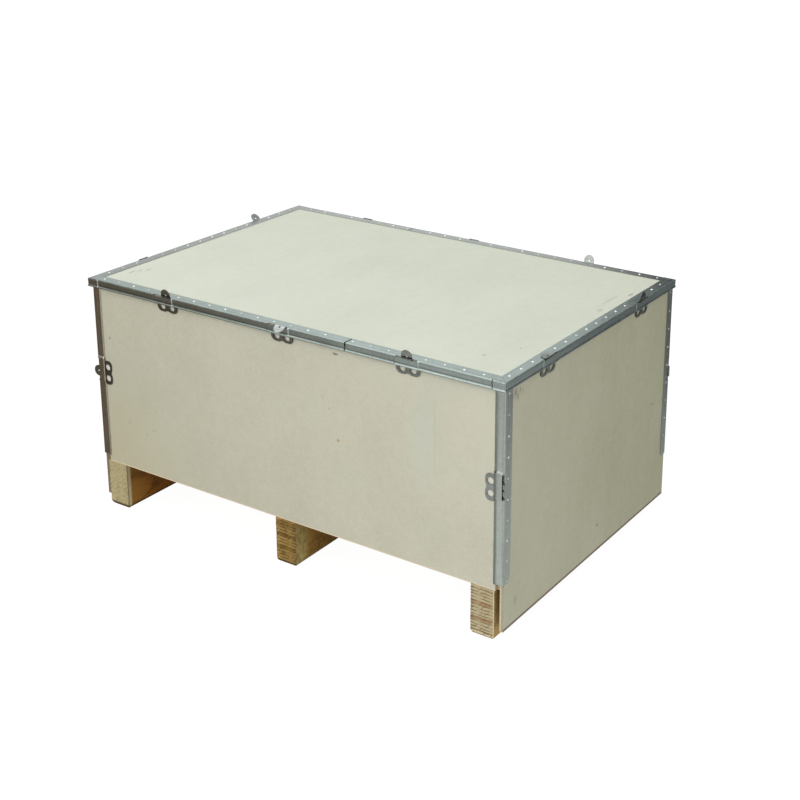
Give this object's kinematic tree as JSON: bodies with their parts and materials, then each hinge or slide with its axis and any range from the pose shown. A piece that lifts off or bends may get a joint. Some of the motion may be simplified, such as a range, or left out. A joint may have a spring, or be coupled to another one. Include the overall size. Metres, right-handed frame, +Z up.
{
  "type": "shipping crate",
  "caption": "Low plywood shipping crate on wooden skids, with riveted steel edge strips and bent-tongue locks; the lid lifts off and forks pass between the skids.",
  "frame": {"origin": "on the ground, at the middle of the middle skid's underside", "axes": "+X along the crate's length, +Y from the front to the back, +Z up"},
  "size_m": [1.2169, 0.8304, 0.6222],
  "materials": {
    "lid_plywood": "pale sanded plywood",
    "side_plywood": "warm sanded plywood",
    "deck_plywood": "plain plywood",
    "skid_lumber": "sawn laminated veneer",
    "strip_steel": "galvanised sheet",
    "plate_steel": "zinc-plated stamping"
  },
  "bodies": {
    "base": {"floor_deck": "deck_plywood", "panel_front": "side_plywood", "panel_back": "side_plywood", "panel_left": "side_plywood", "panel_right": "side_plywood", "corner_strip_front_left": "strip_steel", "corner_strip_front_right": "strip_steel", "corner_strip_back_left": "strip_steel", "corner_strip_back_right": "strip_steel", "tie_plate_corner_front_left": "plate_steel", "tie_plate_corner_front_right": "plate_steel", "tie_plate_corner_back_left": "plate_steel", "tie_plate_corner_back_right": "plate_steel", "skid_left": "skid_lumber", "skid_middle": "skid_lumber", "skid_right": "skid_lumber"},
    "lid": {"lid_panel": "lid_plywood", "lid_strip_front_left": "strip_steel", "lid_strip_front_right": "strip_steel", "lid_strip_back_left": "strip_steel", "lid_strip_back_right": "strip_steel", "lid_strip_left": "strip_steel", "lid_strip_right": "strip_steel", "tie_plate_front_left": "plate_steel", "tie_plate_front_middle": "plate_steel", "tie_plate_front_right": "plate_steel", "tie_plate_right_front": "plate_steel", "tie_plate_right_rear": "plate_steel", "tie_plate_left_front": "plate_steel", "tie_plate_left_rear": "plate_steel", "tie_plate_back_left": "plate_steel", "tie_plate_back_middle": "plate_steel", "tie_plate_back_right": "plate_steel"},
    "tongue_front_left": {"tongue_front_left": "plate_steel"},
    "tongue_front_middle": {"tongue_front_middle": "plate_steel"},
    "tongue_front_right": {"tongue_front_right": "plate_steel"},
    "tongue_right_front": {"tongue_right_front": "plate_steel"},
    "tongue_right_rear": {"tongue_right_rear": "plate_steel"},
    "tongue_left_front": {"tongue_left_front": "plate_steel"},
    "tongue_left_rear": {"tongue_left_rear": "plate_steel"},
    "tongue_back_left": {"tongue_back_left": "plate_steel"},
    "tongue_back_middle": {"tongue_back_middle": "plate_steel"},
    "tongue_back_right": {"tongue_back_right": "plate_steel"},
    "tongue_corner_front_left": {"tongue_corner_front_left": "plate_steel"},
    "tongue_corner_front_right": {"tongue_corner_front_right": "plate_steel"},
    "tongue_corner_back_left": {"tongue_corner_back_left": "plate_steel"},
    "tongue_corner_back_right": {"tongue_corner_back_right": "plate_steel"}
  },
  "joints": [
    {"name": "lid_lift", "type": "slide", "parent": "base", "child": "lid", "axis": [0, 0, 1], "range_m": [0, 0.6]},
    {"name": "bend_front_left", "type": "hinge", "parent": "lid", "child": "tongue_front_left", "pos_m": [-0.341, -0.3997, 0.6036], "axis": [1, 0, 0], "range_deg": [-96.38, 120]},
    {"name": "bend_front_middle", "type": "hinge", "parent": "lid", "child": "tongue_front_middle", "pos_m": [0.009, -0.3997, 0.6036], "axis": [1, 0, 0], "range_deg": [-214.38, 2]},
    {"name": "bend_front_right", "type": "hinge", "parent": "lid", "child": "tongue_front_right", "pos_m": [0.354, -0.3997, 0.6036], "axis": [1, 0, 0], "range_deg": [-96.38, 120]},
    {"name": "bend_right_front", "type": "hinge", "parent": "lid", "child": "tongue_right_front", "pos_m": [0.5997, -0.225, 0.6036], "axis": [0, 1, 0], "range_deg": [0, 212.92]},
    {"name": "bend_right_rear", "type": "hinge", "parent": "lid", "child": "tongue_right_rear", "pos_m": [0.5997, 0.218, 0.6036], "axis": [0, 1, 0], "range_deg": [-92.92, 120]},
    {"name": "bend_left_front", "type": "hinge", "parent": "lid", "child": "tongue_left_front", "pos_m": [-0.5997, -0.214, 0.6036], "axis": [0, -1, 0], "range_deg": [-217.8, 2]},
    {"name": "bend_left_rear", "type": "hinge", "parent": "lid", "child": "tongue_left_rear", "pos_m": [-0.5997, 0.218, 0.6036], "axis": [0, -1, 0], "range_deg": [-134.8, 85]},
    {"name": "bend_back_left", "type": "hinge", "parent": "lid", "child": "tongue_back_left", "pos_m": [-0.349, 0.3997, 0.6036], "axis": [-1, 0, 0], "range_deg": [-214.38, 2]},
    {"name": "bend_back_middle", "type": "hinge", "parent": "lid", "child": "tongue_back_middle", "pos_m": [0.006, 0.3997, 0.6036], "axis": [-1, 0, 0], "range_deg": [-214.38, 2]},
    {"name": "bend_back_right", "type": "hinge", "parent": "lid", "child": "tongue_back_right", "pos_m": [0.357, 0.3997, 0.6036], "axis": [-1, 0, 0], "range_deg": [-96.38, 120]},
    {"name": "bend_corner_front_left", "type": "hinge", "parent": "base", "child": "tongue_corner_front_left", "pos_m": [-0.593, -0.3951, 0.3595], "axis": [0, 0, 1], "range_deg": [-89.83, 120]},
    {"name": "bend_corner_front_right", "type": "hinge", "parent": "base", "child": "tongue_corner_front_right", "pos_m": [0.598, -0.3951, 0.3595], "axis": [0, 0, -1], "range_deg": [0, 209.83]},
    {"name": "bend_corner_back_left", "type": "hinge", "parent": "base", "child": "tongue_corner_back_left", "pos_m": [-0.593, 0.3951, 0.3595], "axis": [0, 0, -1], "range_deg": [-207.83, 2]},
    {"name": "bend_corner_back_right", "type": "hinge", "parent": "base", "child": "tongue_corner_back_right", "pos_m": [0.598, 0.3951, 0.3595], "axis": [0, 0, 1], "range_deg": [0, 209.83]}
  ]
}
